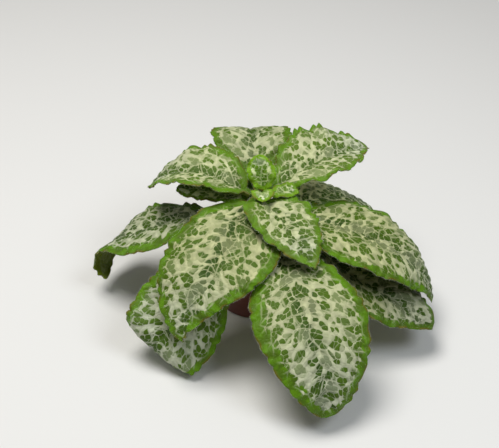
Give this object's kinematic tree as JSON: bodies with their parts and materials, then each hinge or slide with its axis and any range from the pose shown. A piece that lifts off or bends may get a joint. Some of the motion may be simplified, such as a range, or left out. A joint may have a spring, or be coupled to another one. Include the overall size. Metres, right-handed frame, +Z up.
{
  "type": "potted primulina",
  "caption": "Low rosette of broad, scalloped, cream-netted green leaves that arch down from a short stem, in a small round tapered plastic pot filled with soil.",
  "frame": {"origin": "middle of the pot's flat underside", "axes": "+Z up along the pot's axis; +Y away from the viewer of the picture, +X to the viewer's right"},
  "size_m": [0.2409, 0.2338, 0.1142],
  "materials": {
    "pot_plastic": "satin brick-red plastic, dusty, faint turning marks",
    "potting_soil": "matte dark crumbly peat with pale grains",
    "stem_bark": "matte green to brown, ringed with leaf scars, finely hairy",
    "mature_leaf": "soft satin leaf, green cells in a cream net, green margin, fine white hairs",
    "upper_leaf": "as the mature leaf, a paler and denser cream net",
    "crown_leaf": "young yellow-green leaf with a faint net and dense fine hairs"
  },
  "bodies": {
    "root": {"pot": "pot_plastic", "soil": "potting_soil", "stem": "stem_bark", "leaf_front_left": "mature_leaf", "leaf_front": "mature_leaf", "leaf_right": "mature_leaf", "leaf_right_low": "mature_leaf", "leaf_back_right": "mature_leaf", "leaf_left": "mature_leaf", "leaf_front_left_low": "mature_leaf", "leaf_back_low": "mature_leaf", "leaf_front_right_small": "upper_leaf", "leaf_back_right_high": "upper_leaf", "leaf_back": "upper_leaf", "leaf_back_left": "upper_leaf", "leaf_back_left_small": "upper_leaf", "crown_leaf_upright": "crown_leaf", "crown_leaf_right": "crown_leaf", "crown_leaf_front": "crown_leaf"}
  },
  "joints": []
}
